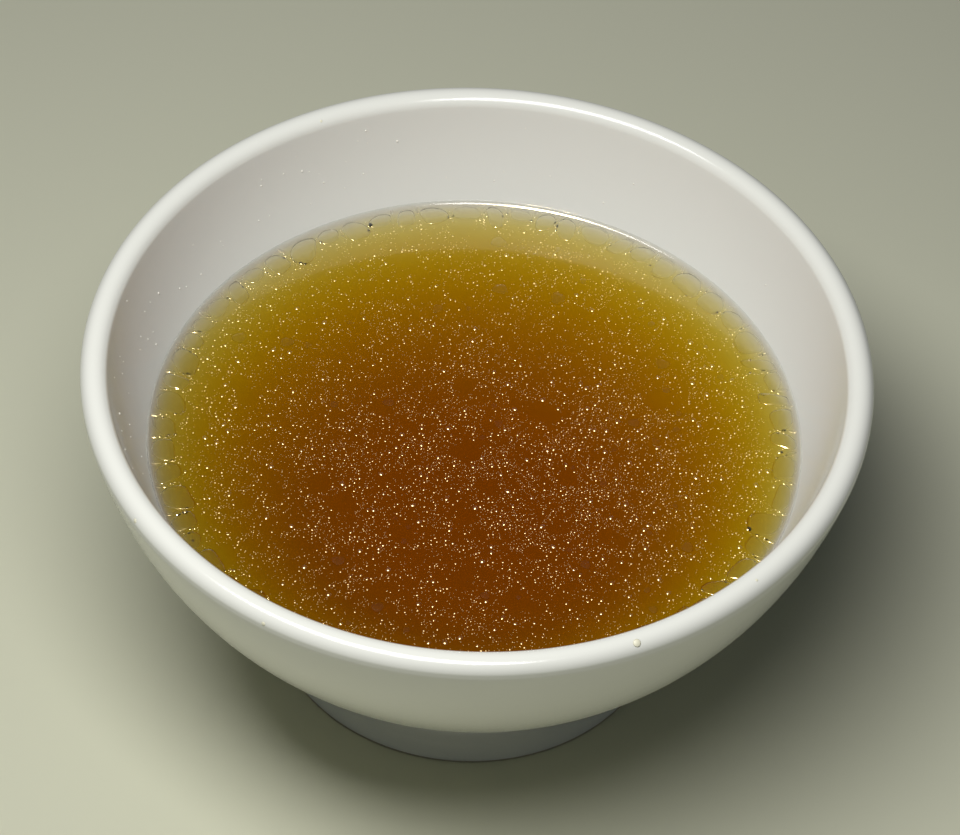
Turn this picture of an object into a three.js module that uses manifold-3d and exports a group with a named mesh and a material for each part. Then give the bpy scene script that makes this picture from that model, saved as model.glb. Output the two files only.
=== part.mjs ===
// A thick-walled footed soup bowl of white glazed stoneware, filled with clear broth on which fat floats.
// Millimetres, +Z up. The origin is the middle of the foot ring's underside, where the bowl stands.

import * as THREE from "three";
import { mergeVertices } from "three/addons/utils/BufferGeometryUtils.js";
import Module from "manifold-3d";

// ---- Driving dimensions of the bowl ----
const RIM_RADIUS = 75; // outer side of the lip
const BOWL_HEIGHT = 74; // table to the top of the lip
const LIP_THICKNESS = 5.3; // across the rounded lip
const LIP_RISE = 2.7; // height of the lip's round top
const LIP_STEPS = 7; // facets over the lip
const SIDE_SLOPE_AT_LIP = 77.5; // degrees from level, outer wall just below the lip
const SIDE_SLOPE_AT_FOOT = 38; // degrees from level, outer wall where it leaves the foot
const SIDE_REACH_AT_LIP = 26; // how far each slope carries on into the curve of the side
const SIDE_REACH_AT_FOOT = 24;
const SIDE_START_RADIUS = 37.8; // where the side leaves the foot's fillet
const SIDE_START_HEIGHT = 14.1;
const SIDE_STEPS = 12; // facets up the outside
const INNER_STEPS = 9; // facets up the inside
const WALL_AT_FOOT = 6.5; // wall thickness low down, which thins to LIP_THICKNESS at the lip

// ---- Foot ring ----
const FOOT_RADIUS = 39.2; // outer edge of the standing face
const FOOT_RIDGE_RADIUS = 37.9; // soft ridge above the foot's short sloping side
const FOOT_RIDGE_HEIGHT = 2.8;
const NECK_REACH = 4.2; // length of the fillet's end tangents, which sets how far the neck pulls in
const NECK_SLOPE_AT_RIDGE = 37; // degrees from level
const NECK_STEPS = 5;
const FOOT_FACE_WIDTH = 4.5; // width of the flat ring that stands on the table
const FOOT_EDGE = 0.5; // small bevel on both edges of that ring
const RECESS_RADIUS = 31.5; // hollow under the bowl, inside the foot ring
const RECESS_DEPTH = 5;

// ---- Inside of the bowl ----
const FLOOR_HEIGHT = 11.5; // inside floor of the bowl, on the axis
const FLOOR_STEPS = 4;
const FLOOR_REACH = 13; // how far the side's slope and the level floor carry on into the curve between

// ---- Broth ----
const BROTH_LEVEL = 51.9;
const BROTH_GAP = 0.3; // clearance between the broth and the bowl
const MENISCUS_RISE = 0.8; // how far the broth climbs the wall
const MENISCUS_REACH = 2.2; // how far from the wall its surface is level again
const MENISCUS_STEPS = 2;

// ---- Fat on the broth at true size: the largest pieces only ----
const POOL_SPAN_MIN = 4; // flat pools of fat lie side by side along the wall; this is one's width there
const POOL_SPAN_MAX = 8;
const POOL_FILL = 0.9; // the share of its span that a pool fills
const POOL_LENGTH_MIN = 2.6; // out towards the wall
const POOL_LENGTH_MAX = 4.4;
const POOL_HEIGHT = 0.3;
const EYE_COUNT = 44; // round eyes spread over the open surface
const EYE_RADIUS_MIN = 0.6;
const EYE_RADIUS_MAX = 1.6;
const EYE_HEIGHT = 0.3; // height over radius of an eye
const EYE_SPACING = 1.15; // least distance between two eyes, over the sum of their radii
const FAT_SINK = 0.2; // the share of its height by which its widest part lies under the surface
const FAT_SIDES = 8;
const FAT_RINGS = 4;
const RANDOM_SEED = 7;

const TURN_STEPS = 60; // facets round the bowl and the broth

// ---- Small helpers ----
const radians = THREE.MathUtils.degToRad;
const along = (degrees) => new THREE.Vector2(Math.cos(radians(degrees)), Math.sin(radians(degrees)));

// A repeatable stream of numbers from 0 to 1.
function randomStream(seed) {
  let state = seed >>> 0;
  return () => {
    state = (Math.imul(state, 1664525) + 1013904223) >>> 0;
    return state / 4294967296;
  };
}

// A smooth curve that leaves `start` and reaches `end` along the two given slopes.
function smoothCurve(start, startSlope, startReach, end, endSlope, endReach) {
  const leave = start.clone().addScaledVector(along(startSlope), startReach);
  const arrive = end.clone().addScaledVector(along(endSlope), -endReach);
  return new THREE.CubicBezierCurve(start, leave, arrive, end);
}

// ---- Profile of the bowl: points are (radius, height), from the axis outside round to the axis inside ----
const sideStart = new THREE.Vector2(SIDE_START_RADIUS, SIDE_START_HEIGHT);
const lipTilt = (LIP_THICKNESS / 2) * Math.cos(radians(SIDE_SLOPE_AT_LIP)); // the lip leans in with the wall
const sideEnd = new THREE.Vector2(RIM_RADIUS, BOWL_HEIGHT - LIP_RISE - lipTilt);
const side = smoothCurve(
  sideStart, SIDE_SLOPE_AT_FOOT, SIDE_REACH_AT_FOOT,
  sideEnd, SIDE_SLOPE_AT_LIP, SIDE_REACH_AT_LIP,
);

// The inner wall is the outer one moved inwards by the wall's thickness.
function innerWallPoint(t, extra) {
  const tangent = side.getTangent(t);
  const thickness = THREE.MathUtils.lerp(WALL_AT_FOOT, LIP_THICKNESS, t) + extra;
  return side.getPoint(t).add(new THREE.Vector2(-tangent.y, tangent.x).multiplyScalar(thickness));
}

function footPoints() {
  const ridge = new THREE.Vector2(FOOT_RIDGE_RADIUS, FOOT_RIDGE_HEIGHT);
  const fillet = smoothCurve(
    ridge, 180 - NECK_SLOPE_AT_RIDGE, NECK_REACH,
    sideStart, SIDE_SLOPE_AT_FOOT, NECK_REACH,
  );
  const inner = FOOT_RADIUS - FOOT_FACE_WIDTH - FOOT_EDGE;
  return [
    new THREE.Vector2(0, RECESS_DEPTH),
    new THREE.Vector2(RECESS_RADIUS, RECESS_DEPTH),
    new THREE.Vector2(inner - FOOT_EDGE, FOOT_EDGE),
    new THREE.Vector2(inner, 0),
    new THREE.Vector2(FOOT_RADIUS - FOOT_EDGE, 0),
    new THREE.Vector2(FOOT_RADIUS, FOOT_EDGE),
    ...fillet.getPoints(NECK_STEPS).slice(0, -1),
  ];
}

function lipPoints() {
  const inside = innerWallPoint(1, 0);
  const middle = inside.clone().lerp(sideEnd, 0.5);
  const halfWidth = sideEnd.distanceTo(inside) / 2;
  const lean = Math.atan2(sideEnd.y - inside.y, sideEnd.x - inside.x);
  const points = [];
  for (let i = 1; i < LIP_STEPS; i++) {
    const turn = (Math.PI * i) / LIP_STEPS;
    const across = halfWidth * Math.cos(turn);
    const up = LIP_RISE * Math.sin(turn);
    points.push(new THREE.Vector2(
      middle.x + across * Math.cos(lean) - up * Math.sin(lean),
      middle.y + across * Math.sin(lean) + up * Math.cos(lean),
    ));
  }
  return points;
}

// The rounded floor inside the bowl, from the axis out to where the inner wall begins.
function floorCurve(extra) {
  return smoothCurve(
    new THREE.Vector2(0, FLOOR_HEIGHT + extra), 0, FLOOR_REACH,
    innerWallPoint(0, extra), SIDE_SLOPE_AT_FOOT, FLOOR_REACH,
  );
}

function bowlProfile() {
  const points = footPoints();
  for (let i = 0; i <= SIDE_STEPS; i++) points.push(side.getPoint(i / SIDE_STEPS));
  points.push(...lipPoints());
  for (let i = INNER_STEPS; i > 0; i--) points.push(innerWallPoint(i / INNER_STEPS, 0));
  points.push(...floorCurve(0).getPoints(FLOOR_STEPS).reverse());
  return points;
}

// ---- Profile of the broth, which stays BROTH_GAP clear of the bowl ----

// Where the inner wall, moved inwards by `extra`, passes a height.
function wallShareAt(height, extra) {
  let low = 0;
  let high = 1;
  for (let i = 0; i < 40; i++) {
    const middle = (low + high) / 2;
    if (innerWallPoint(middle, extra).y < height) low = middle;
    else high = middle;
  }
  return low;
}

const brothEdgeShare = wallShareAt(BROTH_LEVEL + MENISCUS_RISE, BROTH_GAP);
const brothEdge = innerWallPoint(brothEdgeShare, BROTH_GAP);

function brothProfile() {
  const points = floorCurve(BROTH_GAP).getPoints(FLOOR_STEPS);
  const steps = Math.ceil(brothEdgeShare * INNER_STEPS);
  for (let i = 1; i <= steps; i++) points.push(innerWallPoint((brothEdgeShare * i) / steps, BROTH_GAP));
  for (let i = 1; i <= MENISCUS_STEPS; i++) {
    const share = i / MENISCUS_STEPS;
    points.push(new THREE.Vector2(
      brothEdge.x - MENISCUS_REACH * share,
      BROTH_LEVEL + MENISCUS_RISE * (1 - share) ** 3,
    ));
  }
  points.push(new THREE.Vector2(0, BROTH_LEVEL));
  return points;
}

// ---- Fat: each piece has a direction and distance from the axis, half sizes, and a height ----
const openRadius = brothEdge.x - MENISCUS_REACH; // inside this the surface is level
const random = randomStream(RANDOM_SEED);
const between = (low, high) => THREE.MathUtils.lerp(low, high, random());

// Pools go round the wall one after another until the circle is full.
function placePools() {
  const circle = 2 * Math.PI * openRadius;
  const pools = [];
  let done = 0;
  while (circle - done > POOL_SPAN_MIN) {
    const span = Math.min(between(POOL_SPAN_MIN, POOL_SPAN_MAX), circle - done);
    const length = between(POOL_LENGTH_MIN, POOL_LENGTH_MAX) / 2;
    pools.push({
      turn: (done + span / 2) / openRadius,
      out: openRadius - length,
      length,
      width: (POOL_FILL * span) / 2,
      height: POOL_HEIGHT,
    });
    done += span;
  }
  return pools;
}

// Eyes lie anywhere inside the pools; small ones are common and large ones are rare.
function placeEyes() {
  const field = openRadius - POOL_LENGTH_MAX - EYE_RADIUS_MAX;
  const eyes = [];
  while (eyes.length < EYE_COUNT) {
    const radius = THREE.MathUtils.lerp(EYE_RADIUS_MIN, EYE_RADIUS_MAX, random() ** 2);
    const eye = {
      turn: between(0, 2 * Math.PI),
      out: field * Math.sqrt(random()),
      length: radius,
      width: radius,
      height: EYE_HEIGHT * radius,
    };
    const isClear = (other) => {
      const apart = Math.hypot(
        eye.out * Math.cos(eye.turn) - other.out * Math.cos(other.turn),
        eye.out * Math.sin(eye.turn) - other.out * Math.sin(other.turn),
      );
      return apart > EYE_SPACING * (eye.length + other.length);
    };
    if (eyes.every(isClear)) eyes.push(eye);
  }
  return eyes;
}

function fatGeometry(fat) {
  const shape = new THREE.SphereGeometry(1, FAT_SIDES, FAT_RINGS);
  shape.rotateX(Math.PI / 2);
  shape.scale(fat.length, fat.width, fat.height / (1 - FAT_SINK));
  shape.translate(fat.out, 0, BROTH_LEVEL - (FAT_SINK * fat.height) / (1 - FAT_SINK));
  shape.rotateZ(fat.turn);
  return shape;
}

// ---- Solids ----
const wasm = await Module();
wasm.setup();

function solidOf(geometry) {
  const bare = geometry.clone();
  bare.deleteAttribute("normal");
  bare.deleteAttribute("uv");
  const merged = mergeVertices(bare);
  return new wasm.Manifold(new wasm.Mesh({
    numProp: 3,
    vertProperties: new Float32Array(merged.attributes.position.array),
    triVerts: new Uint32Array(merged.index.array),
  }));
}

function geometryOf(solid) {
  const made = solid.getMesh();
  const geometry = new THREE.BufferGeometry();
  geometry.setAttribute("position", new THREE.BufferAttribute(made.vertProperties, 3));
  geometry.setIndex(new THREE.BufferAttribute(made.triVerts, 1));
  geometry.computeVertexNormals();
  return geometry;
}

// A turned body about the Z axis.
function turned(profile) {
  return new THREE.LatheGeometry(profile, TURN_STEPS).rotateX(Math.PI / 2);
}

function makeBowl() {
  const glaze = new THREE.MeshStandardMaterial({ color: 0xe9eae4, roughness: 0.14, metalness: 0 });
  const bowl = new THREE.Mesh(geometryOf(solidOf(turned(bowlProfile()))), glaze);
  bowl.name = "bowl";
  return bowl;
}

function makeBroth() {
  const amber = new THREE.MeshStandardMaterial({ color: 0x8a5a0c, roughness: 0.05, metalness: 0 });
  let solid = solidOf(turned(brothProfile()));
  for (const fat of [...placePools(), ...placeEyes()]) solid = solid.add(solidOf(fatGeometry(fat)));
  const broth = new THREE.Mesh(geometryOf(solid), amber);
  broth.name = "broth";
  return broth;
}

const bowlOfConsomme = new THREE.Group();
bowlOfConsomme.name = "bowl_of_consomme";
bowlOfConsomme.add(makeBowl(), makeBroth());

export default bowlOfConsomme;
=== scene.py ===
# %% [markdown]
# # A bowl of clear broth with fat on it
# The object is a thick white stoneware soup bowl on a foot ring. It holds clear amber broth, and
# thousands of tiny drops of fat float on that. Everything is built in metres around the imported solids, in
# one frame: +Z is up and the middle of the foot stands on the origin.

# %% Load the solids
import math

import bpy
import numpy as np
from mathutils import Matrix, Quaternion, Vector, noise


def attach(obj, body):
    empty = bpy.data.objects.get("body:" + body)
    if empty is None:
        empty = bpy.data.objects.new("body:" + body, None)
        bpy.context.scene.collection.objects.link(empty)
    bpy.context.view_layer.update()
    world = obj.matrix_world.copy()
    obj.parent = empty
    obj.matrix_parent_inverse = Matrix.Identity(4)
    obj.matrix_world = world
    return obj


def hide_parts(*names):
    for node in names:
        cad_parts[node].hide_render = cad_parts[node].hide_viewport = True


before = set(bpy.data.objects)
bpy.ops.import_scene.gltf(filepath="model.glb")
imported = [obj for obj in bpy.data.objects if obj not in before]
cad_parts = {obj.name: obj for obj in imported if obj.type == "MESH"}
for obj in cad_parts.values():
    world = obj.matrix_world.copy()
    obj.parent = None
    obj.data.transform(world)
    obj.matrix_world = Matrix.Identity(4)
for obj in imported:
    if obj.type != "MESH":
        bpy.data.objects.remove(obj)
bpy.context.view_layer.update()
MM = 0.001
BODY = "root"

# %% [markdown]
# ## The camera
# The bowl was photographed from above with a long lens, so its rim is a nearly true ellipse. A view angle
# of 12 degrees, 47 degrees above the table, gives the ratio between the rim, the broth and the foot. The
# photographer held the camera slightly crooked, which is the roll. A camera could be placed by eye in the
# viewport, but written as a distance, an elevation and a roll it can be checked against the photograph.

# %% Camera
CAMERA_DISTANCE = 862 * MM
CAMERA_ELEVATION = math.radians(47.27)
CAMERA_ROLL = math.radians(2.7)
VIEW_ANGLE = math.radians(12)
NEAREST_SEEN = 50 * MM
RIM_CENTRE = Vector((0, 0, 74 * MM))
AIM = Vector((0.86, 0, 57.35)) * MM

camera = bpy.data.objects.new("camera", bpy.data.cameras.new("camera"))
bpy.context.scene.collection.objects.link(camera)
bpy.context.scene.camera = camera
back = Vector((0, -math.cos(CAMERA_ELEVATION), math.sin(CAMERA_ELEVATION)))
camera.location = RIM_CENTRE + back * CAMERA_DISTANCE
look = (AIM - camera.location).to_track_quat("-Z", "Y")
camera.rotation_mode = "QUATERNION"
camera.rotation_quaternion = look @ Quaternion((0, 0, 1), CAMERA_ROLL)
camera.data.lens_unit = "FOV"
camera.data.angle = VIEW_ANGLE
camera.data.clip_start = NEAREST_SEEN
print("camera at", camera.location, "lens", round(camera.data.lens, 1), "mm")

# %% [markdown]
# ## Helpers for finishes
# Colours are written as the hex values that a colour picker shows, so they have to be turned into the
# linear values that light adds up in. A node helper keeps each material short: it adds one node, sets its
# settings, fills its inputs and links what is given as a socket. The numbers in the colour function are
# those of the sRGB standard.

# %% Colours and nodes


def linear(hex_colour):
    """An sRGB hex colour as linear red, green, blue and alpha."""
    shares = [int(hex_colour[i : i + 2], 16) / 255 for i in (1, 3, 5)]
    return [s / 12.92 if s <= 0.04045 else ((s + 0.055) / 1.055) ** 2.4 for s in shares] + [1.0]


def add_node(material, kind, inputs=None, **settings):
    """Adds a node; an input is given by name or number, as a value or as another node's output."""
    made = material.node_tree.nodes.new(kind)
    for name, value in settings.items():
        setattr(made, name, value)
    for name, value in (inputs or {}).items():
        if isinstance(value, bpy.types.NodeSocket):
            material.node_tree.links.new(value, made.inputs[name])
        else:
            made.inputs[name].default_value = value
    return made


def new_material(name):
    """An empty node material."""
    material = bpy.data.materials.new(name)
    material.use_nodes = True
    material.node_tree.nodes.clear()
    return material


print("mid grey #808080 is", round(linear("#808080")[0], 3), "in linear light")

# %% [markdown]
# ## Helpers for shapes
# Every piece is made as a list of points and a list of faces, which needs no modifier and exports as it
# is. A turned form is a profile in the plane of its radius and height, repeated about the axis. The
# profile's long curves are cubic Bezier curves, each given by the two slopes that it starts and ends
# with.

# %% Curves, pieces and turned forms


def heading(slope):
    """The unit direction of a slope in degrees."""
    return np.array([math.cos(math.radians(slope)), math.sin(math.radians(slope))])


def smooth_curve(start, start_slope, start_reach, end, end_slope, end_reach, steps):
    """Points of a curve that leaves start and reaches end along the two slopes, in degrees."""
    start, end = np.array(start, float), np.array(end, float)
    leave = start + start_reach * heading(start_slope)
    arrive = end - end_reach * heading(end_slope)
    t = np.linspace(0, 1, steps + 1)[:, None]
    return (1 - t) ** 3 * start + 3 * (1 - t) ** 2 * t * leave + 3 * (1 - t) * t**2 * arrive + t**3 * end


def add_piece(name, points, faces, material, slot=None, replaces=None):
    """A mesh piece, given in millimetres, that rides with the bowl; only its many-sided faces are flat."""
    mesh = bpy.data.meshes.new(name)
    mesh.from_pydata((np.asarray(points, float) * MM).tolist(), [], [list(map(int, f)) for f in faces])
    mesh.polygons.foreach_set("use_smooth", [len(f) <= 4 for f in faces])
    mesh.materials.append(material)
    piece = bpy.data.objects.new(name, mesh)
    bpy.context.scene.collection.objects.link(piece)
    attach(piece, BODY)
    if replaces:
        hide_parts(replaces)
    mesh.calc_loop_triangles()
    print(name, "has", len(mesh.loop_triangles), "triangles")
    return piece


def turned(profile, turns):
    """Points and faces of a body turned about Z; the profile starts and ends on the axis."""
    inner = np.asarray(profile, float)[1:-1]
    angles = np.arange(turns) * 2 * math.pi / turns
    ring = np.stack([np.cos(angles), np.sin(angles)], 1)
    around = inner[:, None, :1] * ring[None]
    upwards = np.repeat(inner[:, None, 1:], turns, 1)
    ends = [[0, 0, profile[0][1]], [0, 0, profile[-1][1]]]
    points = np.concatenate([np.concatenate([around, upwards], 2).reshape(-1, 3), ends])
    count = len(inner)
    faces = []
    for row in range(count - 1):
        for i in range(turns):
            j = (i + 1) % turns
            faces.append((row * turns + i, row * turns + j, (row + 1) * turns + j, (row + 1) * turns + i))
    first, last = count * turns, count * turns + 1
    for i in range(turns):
        j = (i + 1) % turns
        faces.append((first, j, i))
        faces.append((last, (count - 1) * turns + i, (count - 1) * turns + j))
    return points, faces


print("a slope of 30 degrees heads", heading(30).round(3))

# %% [markdown]
# ## The bowl's form
# A potter's bowl is a turned form, so one profile says it all: foot ring, pulled-in neck, curved side,
# rounded lip, inner wall and floor. The profile uses the same sizes as the solid, with many more points,
# so the render shows a true curve where the solid shows facets. A Screw modifier could turn it as well; a
# mesh made here is ready for the export as it is.

# %% Bowl sizes, in millimetres and degrees
RIM_RADIUS = 75
BOWL_HEIGHT = 74
LIP_THICKNESS = 5.3
LIP_RISE = 2.7
SIDE_SLOPE_AT_LIP = 77.5
SIDE_SLOPE_AT_FOOT = 38
SIDE_REACH_AT_LIP = 26
SIDE_REACH_AT_FOOT = 24
SIDE_START = (37.8, 14.1)
WALL_AT_FOOT = 6.5
FOOT_RADIUS = 39.2
FOOT_RIDGE = (37.9, 2.8)
NECK_REACH = 4.2
NECK_SLOPE_AT_RIDGE = 37
FOOT_FACE_WIDTH = 4.5
FOOT_EDGE = 0.5
RECESS_RADIUS = 31.5
RECESS_DEPTH = 5
RECESS_ROUNDING = 1.5
FLOOR_HEIGHT = 11.5
FLOOR_REACH = 13
TURNS = 288
SIDE_STEPS = 64

lip_tilt = LIP_THICKNESS / 2 * math.cos(math.radians(SIDE_SLOPE_AT_LIP))
side_end = (RIM_RADIUS, BOWL_HEIGHT - LIP_RISE - lip_tilt)
side = smooth_curve(
    SIDE_START, SIDE_SLOPE_AT_FOOT, SIDE_REACH_AT_FOOT,
    side_end, SIDE_SLOPE_AT_LIP, SIDE_REACH_AT_LIP, SIDE_STEPS,
)


def inner_wall(extra=0.0):
    """The outer side moved inwards by the wall's thickness and a little extra."""
    tangent = np.gradient(side, axis=0)
    tangent[0] = heading(SIDE_SLOPE_AT_FOOT)
    tangent[-1] = heading(SIDE_SLOPE_AT_LIP)
    tangent /= np.linalg.norm(tangent, axis=1)[:, None]
    thickness = np.linspace(WALL_AT_FOOT, LIP_THICKNESS, len(side)) + extra
    return side + np.stack([-tangent[:, 1], tangent[:, 0]], 1) * thickness[:, None]


def inner_floor(extra, steps):
    """The rounded floor, from the axis to the start of the inner wall."""
    return smooth_curve(
        (0, FLOOR_HEIGHT + extra), 0, FLOOR_REACH,
        inner_wall(extra)[0], SIDE_SLOPE_AT_FOOT, FLOOR_REACH, steps,
    )


print("the wall is", WALL_AT_FOOT, "mm thick at the foot and", LIP_THICKNESS, "mm at the lip")

# %% Bowl profile
NECK_STEPS = 20
LIP_STEPS = 28
FLOOR_STEPS = 24
ROUNDING_STEPS = 4


def rounded_corner(before, corner, after, size):
    """A short arc in place of a sharp corner."""
    before, corner, after = (np.array(p, float) for p in (before, corner, after))
    start = corner + (before - corner) / np.linalg.norm(before - corner) * size
    end = corner + (after - corner) / np.linalg.norm(after - corner) * size
    t = np.linspace(0, 1, ROUNDING_STEPS + 1)[:, None]
    return (1 - t) ** 2 * start + 2 * (1 - t) * t * corner + t**2 * end


def foot_profile():
    """From the axis under the bowl, round the foot ring, up to where the side begins."""
    face_inner = FOOT_RADIUS - FOOT_FACE_WIDTH - FOOT_EDGE
    corners = [
        (0, RECESS_DEPTH), (RECESS_RADIUS, RECESS_DEPTH), (face_inner, 0), (FOOT_RADIUS, 0), FOOT_RIDGE,
    ]
    rounding = [RECESS_ROUNDING, FOOT_EDGE, FOOT_EDGE]
    points = [np.array([corners[0]])]
    for i, size in enumerate(rounding, 1):
        points.append(rounded_corner(corners[i - 1], corners[i], corners[i + 1], size))
    points.append(smooth_curve(
        FOOT_RIDGE, 180 - NECK_SLOPE_AT_RIDGE, NECK_REACH,
        SIDE_START, SIDE_SLOPE_AT_FOOT, NECK_REACH, NECK_STEPS,
    ))
    return np.concatenate(points)


def lip_profile():
    """Half an ellipse that leans in with the wall, from the outer side over to the inner wall."""
    inside = inner_wall()[-1]
    outside = np.array(side_end)
    middle = (inside + outside) / 2
    across = (outside - inside) / 2
    up = np.array([-across[1], across[0]]) / np.linalg.norm(across) * LIP_RISE
    turn = np.linspace(0, math.pi, LIP_STEPS + 1)[1:-1, None]
    return middle + across * np.cos(turn) + up * np.sin(turn)


bowl_profile = np.concatenate([
    foot_profile(), side[1:], lip_profile(), inner_wall()[::-1], inner_floor(0, FLOOR_STEPS)[-2::-1],
])
bowl_profile[:, 0] = np.minimum(bowl_profile[:, 0], RIM_RADIUS)
print("bowl profile:", len(bowl_profile), "points, tallest", round(bowl_profile[:, 1].max(), 3), "mm")

# %% [markdown]
# ## White glaze over stoneware
# The bowl is stoneware with an opaque white glaze, a skin of glass about half a millimetre thick. To the
# eye that is a bright, slightly warm white under a clear gloss. The glass has an IOR of 1.5. It isn't a
# mirror: a fired glaze is a little wavy and dulled by washing, so its highlights have soft edges. The
# waves are 4 mm apart and a few microns deep. The dulling is in truth far too fine to show, so it is
# drawn as coarse as 0.6 mm. Under the broth the step between glass and liquid is small, so the glaze
# hardly shines there: that part has the ratio of the two as its IOR. An image texture could show all that
# too, but noise needs no seam and no file.

# %% Glaze
GLAZE_WHITE = "#EDEDE3"
GLAZE_IOR = 1.5
BROTH_IOR = 1.34
GLAZE_ROUGHNESS = (0.13, 0.19)
GLAZE_WAVE = 4 * MM
GLAZE_DULLING = 0.6 * MM
GLAZE_BUMP = {"Strength": 0.06, "Distance": 0.2 * MM}
# Most values of a noise lie between these two.
NOISE_MIDDLE = {"From Min": 0.3, "From Max": 0.7}


def per_metre(spacing):
    """The scale of a noise whose features are this far apart."""
    return 1 / spacing


def white_glaze(name, ior):
    """Opaque white glass: bright, slightly warm, with soft highlights."""
    material = new_material(name)
    place = add_node(material, "ShaderNodeTexCoord").outputs["Object"]
    wave = add_node(material, "ShaderNodeTexNoise", {
        "Vector": place, "Scale": per_metre(GLAZE_WAVE), "Detail": 1.0,
    })
    dull = add_node(material, "ShaderNodeTexNoise", {
        "Vector": place, "Scale": per_metre(GLAZE_DULLING), "Detail": 2.0,
    })
    spread = add_node(material, "ShaderNodeMapRange", {
        **NOISE_MIDDLE, "Value": dull.outputs["Fac"],
        "To Min": GLAZE_ROUGHNESS[0], "To Max": GLAZE_ROUGHNESS[1],
    })
    bump = add_node(material, "ShaderNodeBump", {**GLAZE_BUMP, "Height": wave.outputs["Fac"]})
    surface = add_node(material, "ShaderNodeBsdfPrincipled", {
        "Base Color": linear(GLAZE_WHITE), "Roughness": spread.outputs["Result"],
        "IOR": ior, "Normal": bump.outputs["Normal"],
    })
    add_node(material, "ShaderNodeOutputMaterial", {"Surface": surface.outputs["BSDF"]})
    return material


print("glaze under the broth has an IOR of", round(GLAZE_IOR / BROTH_IOR, 3))

# %% [markdown]
# ## Bare clay under the foot
# The foot ring's standing face is wiped clean before firing, as glaze would weld it to the kiln shelf.
# What is left is fired stoneware: matt and buff, with sandy grains half a millimetre wide that a finger
# feels. To the eye it is a dull ring in two near tones.

# %% Bare clay
CLAY_TONES = ("#BDB09C", "#CFC4B2")
CLAY_GRAIN = 0.5 * MM
CLAY_BUMP = {"Strength": 0.4, "Distance": 0.1 * MM}
CLAY_ROUGHNESS = 0.85


def bare_clay():
    """Fired clay without glaze: matt, buff and sandy."""
    material = new_material("bare_fired_stoneware")
    place = add_node(material, "ShaderNodeTexCoord").outputs["Object"]
    grain = add_node(material, "ShaderNodeTexNoise", {
        "Vector": place, "Scale": per_metre(CLAY_GRAIN), "Detail": 3.0,
    })
    tone = add_node(material, "ShaderNodeMix", {
        "Factor": grain.outputs["Fac"], "A": linear(CLAY_TONES[0]), "B": linear(CLAY_TONES[1]),
    }, data_type="RGBA")
    bump = add_node(material, "ShaderNodeBump", {**CLAY_BUMP, "Height": grain.outputs["Fac"]})
    surface = add_node(material, "ShaderNodeBsdfPrincipled", {
        "Base Color": tone.outputs["Result"], "Roughness": CLAY_ROUGHNESS, "Normal": bump.outputs["Normal"],
    })
    add_node(material, "ShaderNodeOutputMaterial", {"Surface": surface.outputs["BSDF"]})
    return material


print("clay grain", round(CLAY_GRAIN / MM, 2), "mm")

# %% [markdown]
# ## The bowl
# One turned mesh carries all three finishes. Its faces are sorted by height: those at the very bottom are
# bare clay, and those that look up between the floor and the broth's edge are under the broth.

# %% Bowl
BARE_HEIGHT = 0.4 * MM
WET_HEIGHTS = (11 * MM, 52.4 * MM)
BARE_FINISH = 1
WET_FINISH = 2

bowl = add_piece(
    "bowl_glazed", *turned(bowl_profile, TURNS),
    white_glaze("white_glazed_stoneware", GLAZE_IOR), "white_glaze", "bowl",
)
bowl.data.materials.append(bare_clay())
bowl.data.materials.append(white_glaze("white_glaze_under_broth", GLAZE_IOR / BROTH_IOR))
for polygon in bowl.data.polygons:
    if polygon.center.z < BARE_HEIGHT:
        polygon.material_index = BARE_FINISH
    elif polygon.normal.z > 0 and WET_HEIGHTS[0] < polygon.center.z < WET_HEIGHTS[1]:
        polygon.material_index = WET_FINISH
print("the bowl has", len(bowl.data.materials), "finishes")

# %% [markdown]
# ## The broth's form
# The broth fills the bowl to a level, so its outline is the bowl's own inside, moved a tenth of a
# millimetre into the wall so that no air shows between them. Its surface climbs the wall in a small
# meniscus, which catches the lamp as one bright line at the far side. A flat disc would be simpler, but
# light has to pass through a real depth of broth.

# %% Broth form
BROTH_LEVEL = 51.9
BROTH_GAP = 0.3
INTO_WALL = 0.1
MENISCUS_RISE = 0.8
MENISCUS_REACH = 1.6
MENISCUS_STEPS = 20
SURFACE_RINGS = 30
POOL_ZONE = 2.2


def broth_edge_radius(extra):
    """Where the inner wall, moved in by extra, passes the top of the meniscus."""
    wall = inner_wall(extra)
    return float(np.interp(BROTH_LEVEL + MENISCUS_RISE, wall[:, 1], wall[:, 0]))


broth_edge = broth_edge_radius(BROTH_GAP)
open_radius = broth_edge - POOL_ZONE
meniscus_foot = broth_edge_radius(0) - MENISCUS_REACH


def surface_height(out):
    """Height of the broth's surface at a distance from the axis."""
    share = np.clip((broth_edge_radius(0) - np.asarray(out, float)) / MENISCUS_REACH, 0, 1)
    return BROTH_LEVEL + MENISCUS_RISE * (1 - share) ** 3


wall = inner_wall(-INTO_WALL)
edge_radius = broth_edge_radius(-INTO_WALL)
wet_wall = wall[wall[:, 1] < BROTH_LEVEL + MENISCUS_RISE]
meniscus_out = np.linspace(edge_radius, meniscus_foot, MENISCUS_STEPS)
level_out = np.linspace(meniscus_foot, 0, SURFACE_RINGS)[1:]
broth_profile = np.concatenate([
    inner_floor(-INTO_WALL, FLOOR_STEPS), wet_wall[1:],
    np.stack([meniscus_out, surface_height(meniscus_out)], 1),
    np.stack([level_out, surface_height(level_out)], 1),
])
print("broth edge", round(broth_edge, 2), "mm, surface at", BROTH_LEVEL, "mm")

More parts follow.
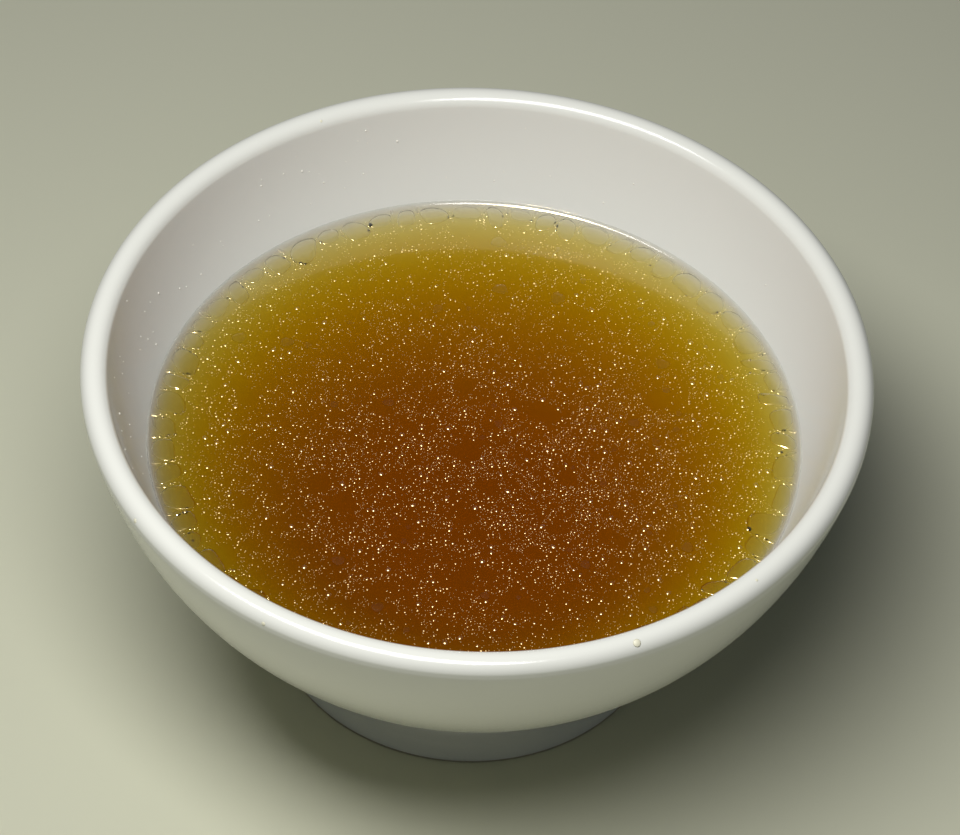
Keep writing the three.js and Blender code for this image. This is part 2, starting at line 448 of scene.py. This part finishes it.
# %% [markdown]
# ## Clear meat broth
# Strained broth is water with a little colour in it, so its IOR of 1.34 is near water's. It takes light
# away by colour: blue within a centimetre, green over a few, red last. So the same liquid is straw yellow
# at the edge, olive gold further in and brown over the deepest part. That comes from a real volume with
# absorption. A painted gradient would be quicker, but it would be wrong from every other side.
#
# Rays that bend through a liquid's surface seldom find a lamp, which would leave the bowl's inside dark
# or noisy, so for shadow rays alone the surface is clear. A film of fat too thin to see lies on all of
# it, which is the coat. The grey tone of the surface is painted shade: it darkens all that is seen
# through the broth to about half, standing in for the light that a real liquid loses on its way out.

# %% Broth finish
FAT_IOR = 1.46
# Painted shade: this grey darkens everything that is seen through the broth's surface.
BROTH_PAINTED_SHADE_TONE = "#C3C3C3"
BROTH_ROUGHNESS = 0.0
BROTH_FILM_ROUGHNESS = 0.12
BROTH_ABSORPTION = 165.0
BROTH_TINT = "#F4E800"


def clear_liquid(name, tone, ior, roughness, film_roughness):
    """A clear liquid under a film of fat: what bends and mirrors for the eye is clear for shadow rays."""
    material = new_material(name)
    glass = add_node(material, "ShaderNodeBsdfPrincipled", {
        "Base Color": linear(tone), "Transmission Weight": 1.0, "IOR": ior, "Roughness": roughness,
        "Coat Weight": 1.0, "Coat IOR": FAT_IOR, "Coat Roughness": film_roughness,
    })
    clear = add_node(material, "ShaderNodeBsdfTransparent")
    shadow = add_node(material, "ShaderNodeLightPath").outputs["Is Shadow Ray"]
    surface = add_node(material, "ShaderNodeMixShader", {
        0: shadow, 1: glass.outputs[0], 2: clear.outputs[0],
    })
    output = add_node(material, "ShaderNodeOutputMaterial", {"Surface": surface.outputs[0]})
    return material, output


def clear_broth():
    """Clear broth: straw yellow where it is shallow, amber and then brown where it is deep."""
    material, output = clear_liquid(
        "clear_meat_broth", BROTH_PAINTED_SHADE_TONE, BROTH_IOR, BROTH_ROUGHNESS, BROTH_FILM_ROUGHNESS,
    )
    absorb = add_node(material, "ShaderNodeVolumeAbsorption", {
        "Color": linear(BROTH_TINT), "Density": BROTH_ABSORPTION,
    })
    material.node_tree.links.new(absorb.outputs["Volume"], output.inputs["Volume"])
    return material


broth = add_piece("broth_clear", *turned(broth_profile, TURNS), clear_broth(), "clear_broth", "broth")

# %% [markdown]
# ## Melted fat
# Fat has an IOR of 1.46 and hardly any colour in so thin a layer. Against the broth that is a ratio of
# only 1.09, so its body all but vanishes: the eye sees the bright points that the lamp makes on its skin.
# The lamp's image in a drop of half a millimetre is finer than a pixel, so the skin is drawn coarser than
# it is: the film's roughness spreads that image over about a pixel, least in the pools and most in the
# finest drops. The body's own roughness spreads in the same way what is seen through a drop.

# %% Fat finish
FAT_TONE = "#FFFFFF"
FAT_ROUGHNESS = 0.3


def clear_fat(name, film_roughness, ior=FAT_IOR / BROTH_IOR):
    """Melted fat that floats on broth: clear, with a wet skin that glints."""
    return clear_liquid(name, FAT_TONE, ior, FAT_ROUGHNESS, film_roughness)[0]


print("fat on broth has an IOR of", round(FAT_IOR / BROTH_IOR, 3))

# %% [markdown]
# ## Pools and eyes of fat
# Along the wall the fat has run together into a row of flat pools, and larger round eyes float further
# in. They lie in the same places as the relief on the solid, so the same random numbers are drawn here.

# %% Where the pools and eyes lie
POOL_SPANS = (4.0, 8.0)
POOL_FILL = 0.9
POOL_LENGTHS = (2.6, 4.4)
EYE_COUNT = 44
EYE_RADII = (0.6, 1.6)
EYE_SPACING = 1.15
SOLID_SEED = 7
SOLID_FACTOR = 1664525
SOLID_STEP = 1013904223
SOLID_RANGE = 2**32


def solid_numbers(state):
    """The random numbers that the solid draws, as shares of their range."""
    while True:
        state = (state * SOLID_FACTOR + SOLID_STEP) % SOLID_RANGE
        yield state / SOLID_RANGE


solid_number = solid_numbers(SOLID_SEED)


def between(low, high):
    """The solid's next random number, between two values."""
    return low + (high - low) * next(solid_number)


def polar(out, turn):
    """X and Y at a distance from the axis and a turn about it."""
    return out * math.cos(turn), out * math.sin(turn)


def place_pools():
    """Turn, tip's distance from the axis, and half width of each pool."""
    pools = []
    circle = 2 * math.pi * open_radius
    done = 0.0
    while circle - done > POOL_SPANS[0]:
        span = min(between(*POOL_SPANS), circle - done)
        length = between(*POOL_LENGTHS)
        pools.append(((done + span / 2) / open_radius, open_radius - length, POOL_FILL * span / 2))
        done += span
    return pools


def place_eyes():
    """Place and radius of each round eye, clear of the others."""
    field = open_radius - POOL_LENGTHS[1] - EYE_RADII[1]
    eyes = []
    while len(eyes) < EYE_COUNT:
        share = next(solid_number) ** 2
        radius = EYE_RADII[0] + (EYE_RADII[1] - EYE_RADII[0]) * share
        turn = between(0, 2 * math.pi)
        x, y = polar(field * math.sqrt(next(solid_number)), turn)
        if all(math.hypot(x - e[0], y - e[1]) > EYE_SPACING * (radius + e[2]) for e in eyes):
            eyes.append((x, y, radius))
    return eyes


pools = place_pools()
eyes = place_eyes()
print(len(pools), "pools and", len(eyes), "eyes of fat")

# %% [markdown]
# ## The form of a patch of fat
# Each pool or eye is flat on top with a rounded rim. A pool hangs on the wall as a tongue, steep at its
# sides and shallow at its tip, so the valley between two pools shows as a short bright line. A height
# over a star-shaped outline makes both. Sculpting would give no control over the rim's slope, which
# decides what glints.

# %% Flat patches
SUNK = 0.012
RIM_RINGS = 6


def flat_patch(outline, centre, height, flat_share, softness):
    """A closed patch over a star-shaped outline on the broth: flat inside, rounded down at the rim."""
    sides = len(outline)
    falls = np.linspace(0, 1, RIM_RINGS)
    points = []
    for above in (True, False):
        for fall in falls[: None if above else -1]:
            share = flat_share + (1 - flat_share) * fall
            place = centre + (outline - centre) * np.reshape(share, (-1, 1))
            lift = height * (1 - fall**2) ** softness if above else 0.0
            z = surface_height(np.hypot(place[:, 0], place[:, 1])) - SUNK + lift
            points.append(np.column_stack([place, z]))
    count = len(falls)
    rows = [*range(count), *reversed(range(count, 2 * count - 1))]
    faces = []
    for a, b in zip(rows, rows[1:]):
        for i in range(sides):
            j = (i + 1) % sides
            faces.append((a * sides + i, b * sides + i, b * sides + j, a * sides + j))
    faces.append(tuple(rows[0] * sides + i for i in range(sides)))
    faces.append(tuple(rows[-1] * sides + i for i in reversed(range(sides))))
    return np.concatenate(points), faces


def joined(parts):
    """Several closed shapes as the points and faces of one mesh."""
    points, faces, count = [], [], 0
    for part_points, part_faces in parts:
        points.append(part_points)
        faces += [tuple(v + count for v in face) for face in part_faces]
        count += len(part_points)
    return np.concatenate(points), faces


print("a patch has", RIM_RINGS, "rings from its flat top to its rim")

# %% Outlines of pools and eyes
DRAW_SEED = 21
OUTLINE_POWER = 2.6
OUTLINE_WOBBLE = 0.08
SOFT_RIM = 2.0
POOL_SIDES = 44
POOL_HEIGHT = 0.24
POOL_HEIGHT_SHARES = (0.12, 1.0)
POOL_FLAT_SHARES = (0.25, 0.84)
POOL_TIP_SHIFTS = (-0.6, 1.2)
POOL_END = 1.55
POOL_INSET = 0.28
POOL_LEAN = 0.4
EYE_SIDES = 36
EYE_HEIGHT = 0.06
EYE_FLAT_SHARE = 0.35

draw = np.random.default_rng(DRAW_SEED)


def uneven(angles):
    """A slow random swelling round an outline."""
    phase = draw.uniform(0, 2 * math.pi, 2)
    return 1 + OUTLINE_WOBBLE * (np.sin(2 * angles + phase[0]) + np.sin(3 * angles + phase[1]))


def pool_patch(turn, tip, half_width):
    """A tongue beside the wall, with steep sides and shallow ends."""
    tip += draw.uniform(*POOL_TIP_SHIFTS)
    half_length = (open_radius + POOL_END - tip) / 2
    middle = tip + half_length
    angles = np.arange(POOL_SIDES) * 2 * math.pi / POOL_SIDES
    cos, sin = np.cos(angles), np.sin(angles)
    swell = uneven(angles)
    along = (half_width - POOL_INSET) * np.sign(cos) * np.abs(cos) ** (2 / OUTLINE_POWER) * swell
    inward = half_length * np.sign(sin) * np.abs(sin) ** (2 / OUTLINE_POWER) * np.where(sin > 0, swell, 1)
    out = middle - inward
    around = turn - (along + draw.uniform(-POOL_LEAN, POOL_LEAN) * inward) / out
    outline = np.column_stack([out * np.cos(around), out * np.sin(around)])
    flat_share = POOL_FLAT_SHARES[1] - (POOL_FLAT_SHARES[1] - POOL_FLAT_SHARES[0]) * np.abs(sin)
    height = POOL_HEIGHT * draw.uniform(*POOL_HEIGHT_SHARES)
    softness = 1 + (SOFT_RIM - 1) * np.abs(sin)
    return flat_patch(outline, np.array(polar(middle, turn)), height, flat_share, softness)


def eye_patch(x, y, radius):
    """A round lens of fat."""
    angles = np.arange(EYE_SIDES) * 2 * math.pi / EYE_SIDES
    reach = radius * uneven(angles)
    outline = np.column_stack([x + reach * np.cos(angles), y + reach * np.sin(angles)])
    return flat_patch(outline, np.array([x, y]), EYE_HEIGHT * radius, EYE_FLAT_SHARE, SOFT_RIM)


print("the highest pool stands", POOL_HEIGHT, "mm over the broth")

# %% Pools and eyes
POOL_FILM_ROUGHNESS = 0.15
pool_finish = clear_fat("clear_fat_in_pools", POOL_FILM_ROUGHNESS)
fat_patches = [
    add_piece("fat_pools", *joined(pool_patch(*pool) for pool in pools), pool_finish, "clear_broth"),
    add_piece("fat_eyes", *joined(eye_patch(*eye) for eye in eyes), pool_finish, "clear_broth"),
]

# %% [markdown]
# ## Drops of fat
# Small drops float as lenses: low domes, each with one bright point where the lamp shows in it. Most are
# a few tenths of a millimetre across. They could be instances that share one mesh, but each has to follow
# the surface where it climbs the wall, so all drops of one size class are joined in one mesh.

# %% Drop shape
CONTACT_ANGLE = math.radians(50)


def cap_template(sides, rings, contact=CONTACT_ANGLE):
    """A dome of radius 1 with a flat base at height 0, as points and faces."""
    reach = np.sin(np.linspace(0, contact, rings + 1)[1:]) / math.sin(contact)
    curve_radius = 1 / math.sin(contact)
    height = np.sqrt(np.maximum(0, curve_radius**2 - reach**2)) - curve_radius * math.cos(contact)
    angles = np.arange(sides) * 2 * math.pi / sides
    points = [(0, 0, curve_radius * (1 - math.cos(contact)))]
    for r, z in zip(reach, height):
        points += [(r * math.cos(a), r * math.sin(a), z) for a in angles]
    faces = [(0, 1 + i, 1 + (i + 1) % sides) for i in range(sides)]
    for ring in range(rings - 1):
        a, b = 1 + ring * sides, 1 + (ring + 1) * sides
        faces += [(a + i, b + i, b + (i + 1) % sides, a + (i + 1) % sides) for i in range(sides)]
    last = 1 + (rings - 1) * sides
    faces.append(tuple(last + i for i in reversed(range(sides))))
    return np.array(points), faces


def place_caps(template, places):
    """Copies of the dome on the broth; a place is x, y, half length, half width, turn and rise.

    The rise is a share of the dome's own height.
    """
    points, faces = template
    at_x, at_y, length, width, turn, rise = np.asarray(places, float).T[:, :, None]
    along, across = points[:, 0] * length, points[:, 1] * width
    x = at_x + along * np.cos(turn) - across * np.sin(turn)
    y = at_y + along * np.sin(turn) + across * np.cos(turn)
    z = surface_height(np.hypot(x, y)) + points[:, 2] * width * rise - SUNK
    count = len(points)
    copies = [tuple(v + k * count for v in face) for k in range(len(places)) for face in faces]
    return np.stack([x, y, z], 2).reshape(-1, 3), copies


print("a drop is", round(math.tan(CONTACT_ANGLE / 2), 2), "of its radius high")

# %% [markdown]
# ## Where the drops lie
# The drops gather in strings, are thickest right of the middle and leave round patches bare. So places
# are drawn at random and kept more often where a slow noise is near its middle value. A particle system
# could scatter them too, but it wouldn't keep them from overlapping.

# %% Crowding
STRING_SPACING = 7.0
STRING_WIDTH = 0.16
BETWEEN_STRINGS = 0.35
CLUMP_SPACING = 2.5 * STRING_SPACING
CLUMP_LAYER = 40
BETWEEN_CLUMPS = 0.4
THICKEST_PLACE = (20, -8)
THICKEST_REACH = (26, 19)
THINNEST = 0.34
BARE_COUNT = 90
BARE_RADII = (0.6, 2.8)


def skewed(sizes, skew, count=None):
    """Random sizes between two, near the smaller one more often where the skew is over 1."""
    return sizes[0] + (sizes[1] - sizes[0]) * draw.random(count) ** skew


bare_patches = np.stack([
    draw.uniform(-open_radius, open_radius, BARE_COUNT),
    draw.uniform(-open_radius, open_radius, BARE_COUNT),
    skewed(BARE_RADII, 2, BARE_COUNT),
], 1)
pool_turns = np.array([turn for turn, _, _ in pools])


def in_pool(x, y):
    """True on a pool by the wall."""
    around = math.atan2(y, x) % (2 * math.pi)
    turn, tip, half_width = pools[int(np.argmin(np.abs(pool_turns - around)))]
    out = math.hypot(x, y)
    along = abs(around - turn) * out / half_width
    inward = (broth_edge - out) / (broth_edge - tip)
    return along**OUTLINE_POWER + inward**OUTLINE_POWER < 1


def at_least(least, share):
    """A share from 0 to 1, raised so that it starts from the least."""
    return least + (1 - least) * share


def crowding(x, y):
    """How likely a drop is at a place, from 0 to 1: strings and clumps, with bare patches between."""
    bare = np.hypot(bare_patches[:, 0] - x, bare_patches[:, 1] - y) < bare_patches[:, 2]
    if bare.any() or in_pool(x, y):
        return 0.0
    wavy = noise.noise(Vector((x, y, 0)) / STRING_SPACING)
    clump = 0.5 + 0.5 * noise.noise(Vector((x, y, CLUMP_LAYER)) / CLUMP_SPACING)
    off_x = (x - THICKEST_PLACE[0]) / THICKEST_REACH[0]
    off_y = (y - THICKEST_PLACE[1]) / THICKEST_REACH[1]
    thickest = at_least(THINNEST, math.exp(-(off_x**2) - off_y**2))
    strings = at_least(BETWEEN_STRINGS, math.exp(-((wavy / STRING_WIDTH) ** 2)))
    return strings * at_least(BETWEEN_CLUMPS, clump) * thickest


print(BARE_COUNT, "bare patches, the largest", round(float(bare_patches[:, 2].max()), 2), "mm in radius")

# %% Scattering
EDGE_CLEARANCE = 0.8
CELL_SIZE = 2
STRETCHES = (1, 1.25)
DROP_CLASSES = {
    "large": {"count": 420, "radii": (0.3, 0.6), "skew": 2.0, "gap": 1.05},
    "small": {"count": 2300, "radii": (0.17, 0.32), "skew": 1.5, "gap": 1.05},
    "fine": {"count": 11000, "radii": (0.08, 0.17), "skew": 1.0, "gap": 1.02},
}


def cell_of(x, y):
    """The square of the broth that a place is in, so that a drop is compared with near ones alone."""
    return int(x // CELL_SIZE), int(y // CELL_SIZE)


def near_drops(cells, cell):
    """The drops in a square and in the eight round it."""
    around = [(cell[0] + i, cell[1] + j) for i in (-1, 0, 1) for j in (-1, 0, 1)]
    return [drop for one in around for drop in cells.get(one, [])]


def scatter(taken, count, radii, skew, gap):
    """Random drops between two radii in millimetres, kept clear of those that are already placed."""
    kept = []
    cells = {}
    for item in taken:
        cells.setdefault(cell_of(item[0], item[1]), []).append(item)
    while len(kept) < count:
        out = (broth_edge - EDGE_CLEARANCE) * math.sqrt(draw.random())
        x, y = polar(out, draw.uniform(0, 2 * math.pi))
        if draw.random() > crowding(x, y):
            continue
        radius = skewed(radii, skew)
        cell = cell_of(x, y)
        near = near_drops(cells, cell)
        if any(math.hypot(o[0] - x, o[1] - y) < gap * (o[2] + radius) for o in near):
            continue
        stretch = skewed(STRETCHES, 2)
        item = (x, y, radius * stretch, radius / stretch, draw.uniform(0, math.pi), 1.0)
        kept.append(item)
        cells.setdefault(cell, []).append(item)
    return kept


floating = [(x, y, radius, radius, 0.0, 0.0) for x, y, radius in eyes]
drops = {}
for size, drop_class in DROP_CLASSES.items():
    drops[size] = scatter(floating, **drop_class)
    floating += drops[size]
    print(len(drops[size]), size, "drops")

# %% Drops
DROP_DOMES = {"large": (16, 5), "small": (10, 4), "fine": (5, 2)}
DROP_FILM_ROUGHNESS = {"large": 0.28, "small": 0.36, "fine": 0.44}
fat_drops = [
    add_piece(
        "fat_drops_" + size, *place_caps(cap_template(*DROP_DOMES[size]), drops[size]),
        clear_fat("clear_fat_in_" + size + "_drops", DROP_FILM_ROUGHNESS[size]), "clear_broth",
    )
    for size in DROP_CLASSES
]

# %% [markdown]
# ## Ridges and beads between the pools
# Where two pools meet by the wall, fat stands in short crooked ridges, in rounder beads and in strings of
# drops that run inwards. They are higher than the pools, so each shows a bright crescent on the camera's
# side. They touch other fat and hardly bend light, so their IOR is near 1. The joints between the pools
# say where they lie, which painting them on by hand would lose.

# %% Where the ridges and beads lie
RIDGE_SHARE = 0.95
RIDGE_LENGTHS = (0.6, 1.4)
RIDGE_WIDTHS = (0.26, 0.42)
RIDGE_GAPS = (0.1, 0.8)
RIDGE_LEAN = 0.45
RIDGE_RISE = 0.62
BEAD_SHARE = 0.5
BEAD_RADII = (0.32, 0.7)
BEAD_SKEW = 1.6
BEAD_SIDEWAYS = 0.3
BEAD_STRETCHES = (0.95, 1.15)
BEAD_RISE = 0.6
STRING_DROPS = 6
STRING_RADII = (0.14, 0.32)
STRING_GAPS = (0.0, 0.4)
STRING_SIDEWAYS = 0.6
STRING_RISE = 0.8

ridges, beads = [], []
for turn, _, half_width in pools:
    joint = turn + (half_width / POOL_FILL) / open_radius
    length, width = draw.uniform(*RIDGE_LENGTHS), draw.uniform(*RIDGE_WIDTHS)
    out = broth_edge - length - draw.uniform(*RIDGE_GAPS)
    if draw.random() < RIDGE_SHARE:
        lean = draw.uniform(-RIDGE_LEAN, RIDGE_LEAN)
        ridges.append((*polar(out, joint), length, width, joint + lean, RIDGE_RISE))
    if draw.random() < BEAD_SHARE:
        radius = skewed(BEAD_RADII, BEAD_SKEW)
        out -= length + radius
        place = polar(out, joint + draw.uniform(-BEAD_SIDEWAYS, BEAD_SIDEWAYS) / out)
        length = radius * draw.uniform(*BEAD_STRETCHES)
        beads.append((*place, length, radius, draw.uniform(0, math.pi), BEAD_RISE))
        out -= radius
    for _ in range(draw.integers(0, STRING_DROPS)):
        radius = draw.uniform(*STRING_RADII)
        out -= 2 * radius + draw.uniform(*STRING_GAPS)
        place = polar(out, joint + draw.uniform(-STRING_SIDEWAYS, STRING_SIDEWAYS) / out)
        beads.append((*place, radius, radius, 0.0, STRING_RISE))
print(len(ridges), "ridges and", len(beads), "beads between the pools")

# %% Ridges and beads
BEAD_DOME = (24, 7)
BEAD_FILM_ROUGHNESS = 0.18
BEAD_IOR = 1.01
fat_drops.append(add_piece(
    "fat_beads", *place_caps(cap_template(*BEAD_DOME), beads + ridges),
    clear_fat("clear_fat_in_beads", BEAD_FILM_ROUGHNESS, BEAD_IOR), "clear_broth",
))

# %% [markdown]
# ## Splashes on the wall and specks on the lip
# When the bowl was filled, a few tiny splashes of fat stayed on the inner wall above the broth and set
# there, white and half a millimetre across. A few dried specks sit on the lip, and one dark crumb of
# spice floats near the left edge. Painted dots would be flat, and these catch the lamp, so each is a
# small dome, turned to the normal of the wall or the lip that it stands on.

# %% Domes on the bowl


def domes_on(places, template):
    """Domes of a radius at points of the bowl, each turned to the normal there."""
    points, faces = template
    parts = []
    for place, normal, radius in places:
        turn = Vector((0, 0, 1)).rotation_difference(Vector(normal))
        rows = [Vector(place) + turn @ (Vector(p) * radius - Vector((0, 0, SUNK))) for p in points]
        parts.append((np.array([list(row) for row in rows]), faces))
    return joined(parts)


def on_turned(turn, out, height, slope_out, slope_up):
    """A point and its normal on a turned form."""
    return (*polar(out, turn), height), (*polar(slope_out, turn), slope_up)


def on_wall(turn, height):
    """A point of the inner wall, whose normal looks inwards and up."""
    wall = inner_wall()
    out = float(np.interp(height, wall[:, 1], wall[:, 0]))
    rises = np.diff(wall[:, 1]) / np.hypot(*np.diff(wall, axis=0).T)
    rise = float(np.interp(height, wall[1:, 1], rises))
    return on_turned(turn, out, height, -rise, math.sqrt(1 - rise**2))


def on_lip(turn, share):
    """A point of the lip: share 0 is its inner end, 1 its outer end."""
    lip = lip_profile()[::-1]
    i = int(share * (len(lip) - 3) + 1)
    tangent = (lip[i + 1] - lip[i - 1]) / np.linalg.norm(lip[i + 1] - lip[i - 1])
    out, height = lip[i]
    return on_turned(turn, float(out), float(height), -float(tangent[1]), float(tangent[0]))


print("the lip's top is at", round(on_lip(0, 0.5)[0][2], 2), "mm")

# %% [markdown]
# ## Set fat, dried broth and spice
# All three are opaque once they are dry: set fat is nearly white, dried broth pale yellow, and ground
# spice almost black. They keep a slight gloss and differ in nothing but their tone, so one function makes
# them all.

# %% Finish of dried things
DRIED_ROUGHNESS = 0.45


def dried_speck(name, tone):
    """Set fat, dried broth or spice: opaque with a slight gloss."""
    material = new_material(name)
    surface = add_node(material, "ShaderNodeBsdfPrincipled", {
        "Base Color": linear(tone), "Roughness": DRIED_ROUGHNESS,
    })
    add_node(material, "ShaderNodeOutputMaterial", {"Surface": surface.outputs[0]})
    return material


print("dried specks have a roughness of", DRIED_ROUGHNESS)

# %% Splashes
SPLASH_COUNT = 60
SPLASH_RADII = (0.13, 0.27)
SPLASH_HEIGHTS = (55.0, 70.0)
SPLASH_TURN = math.radians(150)
SPLASH_SPREAD = math.radians(48)
SPLASH_CONTACT = math.radians(75)
SPLASH_DOME = (14, 5)
SET_FAT_TONE = "#F6F3E6"

splashes = []
for _ in range(SPLASH_COUNT):
    turn = draw.normal(SPLASH_TURN, SPLASH_SPREAD)
    radius = skewed(SPLASH_RADII, 2)
    splashes.append((*on_wall(turn, draw.uniform(*SPLASH_HEIGHTS)), radius))
wall_splashes = add_piece(
    "wall_splashes", *domes_on(splashes, cap_template(*SPLASH_DOME, SPLASH_CONTACT)),
    dried_speck("set_fat", SET_FAT_TONE), "clear_broth",
)

# %% Specks and crumb
# Each speck: its turn in degrees, its share of the way out over the lip, and its radius.
SPECKS = (
    (-44.5, 0.55, 0.28), (-65.4, 0.66, 0.75), (-145, 0.85, 0.45), (-119, 0.9, 0.4), (118, 0.2, 0.28),
)
SPECK_CONTACT = math.radians(32)
SPECK_DOME = (18, 6)
DRIED_TONE = "#EFEBD0"
CRUMB_PLACE = (-52.0, -29.5, BROTH_LEVEL)
CRUMB_RADIUS = 0.26
CRUMB_DOME = (14, 5)
CRUMB_TONE = "#241808"

specks = [(*on_lip(math.radians(turn), share), radius) for turn, share, radius in SPECKS]
lip_specks = add_piece(
    "lip_specks", *domes_on(specks, cap_template(*SPECK_DOME, SPECK_CONTACT)),
    dried_speck("dried_broth", DRIED_TONE), "clear_broth",
)
crumb = add_piece(
    "dark_crumb", *domes_on([(CRUMB_PLACE, (0, 0, 1), CRUMB_RADIUS)], cap_template(*CRUMB_DOME)),
    dried_speck("dark_spice", CRUMB_TONE), "clear_broth",
)

# %% [markdown]
# ## Floor
# The floor is one plain, pale, matt square, far wider than the picture, so that no edge of it shows. It
# takes the bowl's shadow and throws a little light back up, and it isn't a part of the bowl.

# %% Floor
FLOOR_TONE = "#D0D0B8"
FLOOR_HALF = 1500 * MM
FLOOR_ROUGHNESS = 0.9

floor_corners = [(FLOOR_HALF * x, FLOOR_HALF * y, 0) for x, y in ((-1, -1), (1, -1), (1, 1), (-1, 1))]
floor_mesh = bpy.data.meshes.new("floor")
floor_mesh.from_pydata(floor_corners, [], [(0, 1, 2, 3)])
floor = bpy.data.objects.new("floor", floor_mesh)
bpy.context.scene.collection.objects.link(floor)
floor_finish = new_material("pale_matt_floor")
floor_surface = add_node(floor_finish, "ShaderNodeBsdfPrincipled", {
    "Base Color": linear(FLOOR_TONE), "Roughness": FLOOR_ROUGHNESS,
})
add_node(floor_finish, "ShaderNodeOutputMaterial", {"Surface": floor_surface.outputs[0]})
floor_mesh.materials.append(floor_finish)
print("the floor is", 2 * FLOOR_HALF, "m wide")

# %% [markdown]
# ## Light
# The shadows say how the bowl was lit: one soft oval lamp, 42 by 18 cm, hangs about 41 cm above the rim,
# to the left and on the camera's side. So near a lamp lights the lip more than the floor, and the far
# inner wall more than the near one. A picture of a studio could light the bowl too, but a lamp's size and
# place can be fitted to the shadows.
#
# The broth and the fat get a second lamp in the same place, 10 cm wide. It is there for the glints on
# their wet skins, so light links keep it off the other pieces, and only light that it sends straight on
# counts. Rays that bend through a liquid don't see either lamp, because the clear shadow rays have
# counted it already.

# %% Lamps
LAMP_PLACE = Vector((-86, -126, 482)) * MM
LAMP_SIZE = (420 * MM, 180 * MM)
LAMP_TONE = "#FFFFFF"
LAMP_WATTS = 2.2
GLINT_SIZE = (100 * MM, 100 * MM)
GLINT_TONE = "#FFE3A4"
GLINT_WATTS = 33.0


def add_lamp(name, size, tone, watts):
    """An oval soft lamp that faces the middle of the rim."""
    lamp = bpy.data.objects.new(name, bpy.data.lights.new(name, "AREA"))
    lamp.data.shape = "ELLIPSE"
    lamp.data.size, lamp.data.size_y = size
    lamp.data.color = linear(tone)[:3]
    lamp.data.energy = watts
    lamp.location = LAMP_PLACE
    lamp.rotation_mode = "QUATERNION"
    lamp.rotation_quaternion = (LAMP_PLACE - RIM_CENTRE).to_track_quat("Z", "Y")
    lamp.visible_transmission = False
    bpy.context.scene.collection.objects.link(lamp)
    return lamp


def lights_only(lamp, name, pieces):
    """Links the lamp to these pieces alone."""
    receivers = bpy.data.collections.new(name)
    for piece in pieces:
        receivers.objects.link(piece)
    lamp.light_linking.receiver_collection = receivers


soft_lamp = add_lamp("lamp", LAMP_SIZE, LAMP_TONE, LAMP_WATTS)
lights_only(soft_lamp, "bowl_broth_floor", [bowl, broth, floor, wall_splashes, lip_specks, crumb])
glint = add_lamp("glint_lamp", GLINT_SIZE, GLINT_TONE, GLINT_WATTS)
glint.data.cycles.use_multiple_importance_sampling = False
glint.data.cycles.max_bounces = 0
lights_only(glint, "wet_pieces", [broth, *fat_patches, *fat_drops])
print("the lamps hang", round((LAMP_PLACE - RIM_CENTRE).z / MM), "mm above the rim")

# %% [markdown]
# ## The room
# The rest of the room is dim and slightly cool, so the bowl's outside falls to grey. Mirror images leave
# it out, because the broth would show it as a blue veil.

# %% Room
ROOM_TONE = "#CFE0FF"
ROOM_STRENGTH = 0.05
world = bpy.data.worlds.new("room")
world.use_nodes = True
world.node_tree.nodes["Background"].inputs["Color"].default_value = linear(ROOM_TONE)
world.node_tree.nodes["Background"].inputs["Strength"].default_value = ROOM_STRENGTH
bpy.context.scene.world = world
world.cycles_visibility.glossy = False
bpy.context.scene.view_settings.view_transform = "Standard"
print("the room has a strength of", ROOM_STRENGTH)
